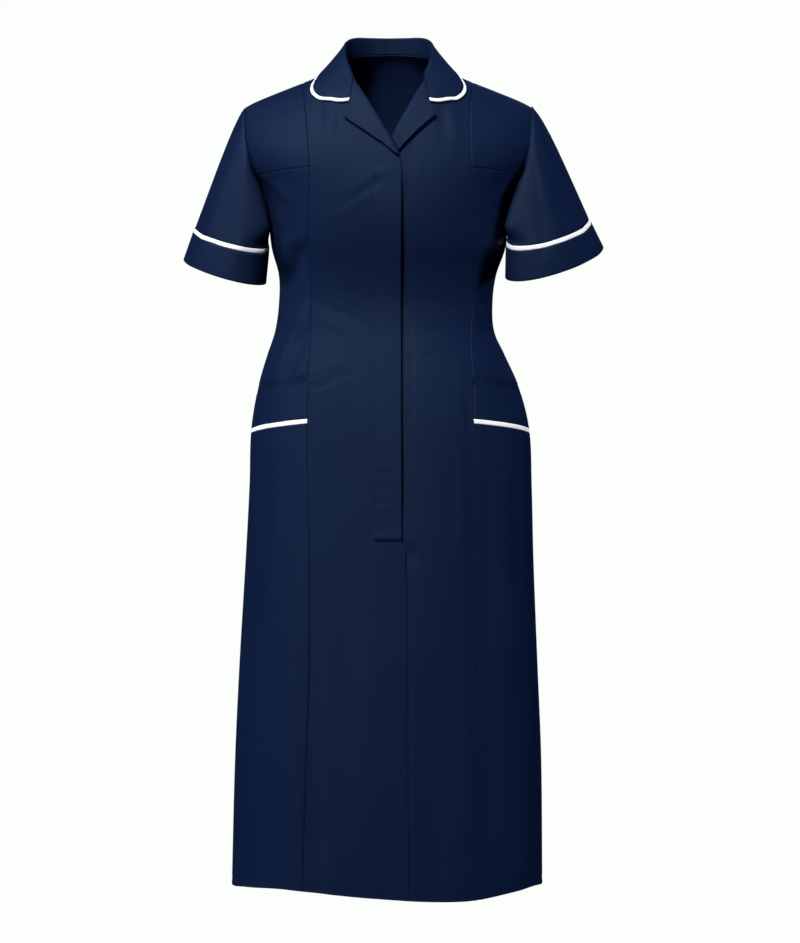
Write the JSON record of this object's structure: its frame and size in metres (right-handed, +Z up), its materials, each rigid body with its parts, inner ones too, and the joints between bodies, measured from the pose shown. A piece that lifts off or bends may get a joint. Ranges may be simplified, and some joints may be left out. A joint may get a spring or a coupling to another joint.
{
  "type": "nurse uniform dress",
  "caption": "Worn-shape nurse uniform dress: short turned-cuff sleeves, notched rolled collar, centre fly front, princess seams and piped hip pockets.",
  "frame": {"origin": "middle of the neck base, level with the tops of the shoulder seams, where the wearer's shoulders hold it", "axes": "+Z up, front towards -Y, +X towards the wearer's left"},
  "size_m": [0.6031, 0.3385, 1.2152],
  "materials": {
    "navy_cloth": "plain-weave polycotton, faint sheen",
    "white_piping": "flat woven piping"
  },
  "bodies": {
    "root": {"front_centre_right": "navy_cloth", "front_centre_left": "navy_cloth", "front_placket": "navy_cloth", "front_yoke_right": "navy_cloth", "front_yoke_left": "navy_cloth", "side_front_right": "navy_cloth", "side_front_left": "navy_cloth", "pocket_band_right": "navy_cloth", "pocket_band_left": "navy_cloth", "pocket_piping_right": "white_piping", "pocket_piping_left": "white_piping", "skirt_side_right": "navy_cloth", "skirt_side_left": "navy_cloth", "back": "navy_cloth", "collar": "navy_cloth", "collar_piping": "white_piping", "lapel_right": "navy_cloth", "lapel_left": "navy_cloth", "sleeve_right": "navy_cloth", "sleeve_left": "navy_cloth", "cuff_piping_right": "white_piping", "cuff_piping_left": "white_piping", "sleeve_cuff_right": "navy_cloth", "sleeve_cuff_left": "navy_cloth"}
  },
  "joints": []
}
